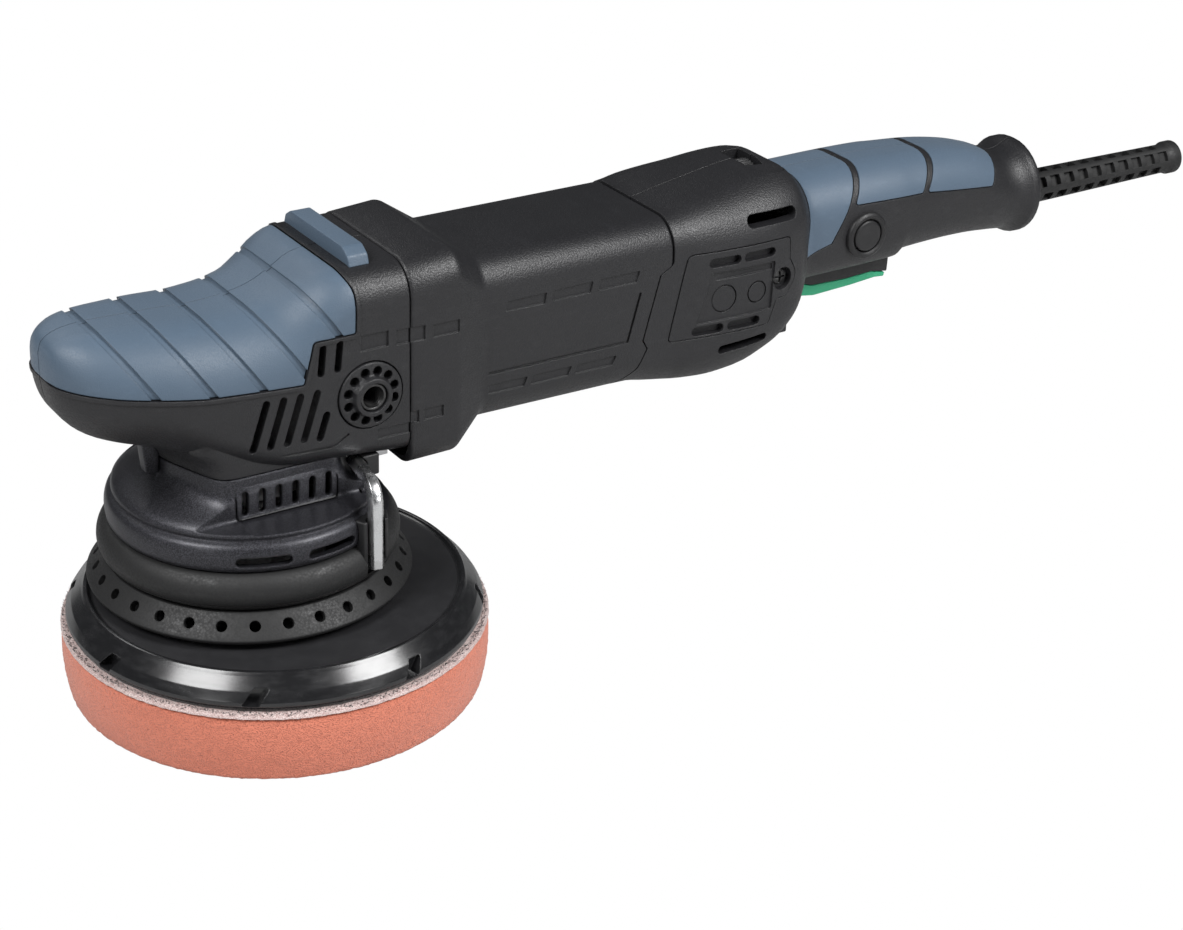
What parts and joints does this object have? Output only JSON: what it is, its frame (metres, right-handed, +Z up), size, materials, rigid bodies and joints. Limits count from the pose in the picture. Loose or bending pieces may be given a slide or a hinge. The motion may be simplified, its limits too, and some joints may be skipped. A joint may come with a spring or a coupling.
{
  "type": "dual action polisher",
  "caption": "Corded dual action polisher with an offset-orbiting foam pad, bevel gear drive, in-line motor, tail handle, trigger, lock button and speed wheel.",
  "frame": {"origin": "on the drive spindle's axis, at the foam pad's working face", "axes": "+Z up through the head, +X back along the motor axis to the handle, +Y to the user's right"},
  "size_m": [0.5039, 0.15, 0.1608],
  "materials": {
    "black_plastic": "fine moulded grain",
    "blue_rubber": "soft-touch overmould",
    "black_rubber": "matt moulded rubber",
    "skirt_metal": "metallic anthracite lacquer",
    "cast_aluminium": "as cast",
    "steel": "machined and zinc plated",
    "copper": "enamelled windings",
    "brass": "stamped",
    "carbon": "pressed carbon",
    "plate_black": "glossy moulded flank",
    "hook_grey": "hook tape",
    "loop_white": "brushed loop fleece",
    "foam_orange": "open-cell foam",
    "trigger_green": "satin",
    "board_green": "solder-masked board"
  },
  "bodies": {
    "housing": {"stator": "copper", "front_bearing": "steel", "rear_bearing": "steel", "brush_holder_left": "brass", "brush_holder_right": "brass", "carbon_brush_left": "carbon", "carbon_brush_right": "carbon", "gearbox_housing": "cast_aluminium", "spindle_lower_bearing": "steel", "spindle_upper_bearing": "steel", "skirt": "skirt_metal", "rubber_boot": "black_rubber", "vent_ring": "black_rubber", "hex_key": "steel", "hex_key_clip": "black_plastic", "head_shell_left": "black_plastic", "head_shell_right": "black_plastic", "head_grip_left": "blue_rubber", "head_grip_right": "blue_rubber", "side_vent_cap_left": "black_plastic", "side_vent_cap_right": "black_plastic", "handle_nut_left": "steel", "handle_nut_right": "steel", "top_bumper": "blue_rubber", "motor_housing": "black_plastic", "handle_shell_left": "black_plastic", "handle_shell_right": "black_plastic", "handle_grip_front_left": "blue_rubber", "handle_grip_front_right": "blue_rubber", "handle_grip_middle_left": "blue_rubber", "handle_grip_middle_right": "blue_rubber", "handle_grip_rear_left": "blue_rubber", "handle_grip_rear_right": "blue_rubber", "side_cover_left": "black_plastic", "side_cover_right": "black_plastic", "cover_screw_left": "steel", "cover_screw_right": "steel", "cable_sleeve": "black_rubber", "switch_module": "black_plastic", "speed_board": "board_green"},
    "drive_spindle": {"output_spindle": "steel", "crown_gear": "steel", "eccentric_hub": "cast_aluminium", "eccentric_bearing": "steel"},
    "pad_assembly": {"foam_pad": "foam_orange", "loop_layer": "loop_white", "hook_layer": "hook_grey", "backing_plate": "plate_black", "plate_hub": "cast_aluminium", "plate_spindle": "steel", "plate_bolt": "steel"},
    "armature": {"armature_shaft": "steel", "armature_core": "steel", "commutator": "copper", "cooling_fan": "black_plastic", "bevel_pinion": "steel"},
    "trigger_lever": {"trigger": "black_plastic", "trigger_insert": "trigger_green"},
    "lock": {"lock_button": "black_plastic"},
    "speed_wheel": {"speed_dial": "black_plastic"}
  },
  "joints": [
    {"name": "spindle_spin", "type": "hinge", "parent": "housing", "child": "drive_spindle", "pos_m": [0, 0, 0.06], "axis": [0, 0, 1], "continuous": true},
    {"name": "plate_spin", "type": "hinge", "parent": "drive_spindle", "child": "pad_assembly", "pos_m": [0.00525, -0.00909, 0.05], "axis": [0, 0, 1], "continuous": true},
    {"name": "armature_spin", "type": "hinge", "parent": "housing", "child": "armature", "pos_m": [0, 0, 0.118], "axis": [1, 0, 0], "continuous": true},
    {"name": "trigger_press", "type": "hinge", "parent": "housing", "child": "trigger_lever", "pos_m": [0.236, 0, 0.112], "axis": [0, -1, 0], "range_deg": [0, 5], "stiffness_Nm_per_rad": 1, "springref_deg": -1.72},
    {"name": "lock_press", "type": "slide", "parent": "housing", "child": "lock", "axis": [0, 1, 0], "range_m": [0, 0.003], "stiffness_N_per_m": 600, "springref_m": -0.001},
    {"name": "speed_turn", "type": "hinge", "parent": "housing", "child": "speed_wheel", "pos_m": [0.205, 0, 0.1464], "axis": [1, 0, 0], "range_deg": [-135, 135]}
  ],
  "couplings": [
    {"joint": "armature_spin", "follows": "spindle_spin", "ratio": 3}
  ]
}
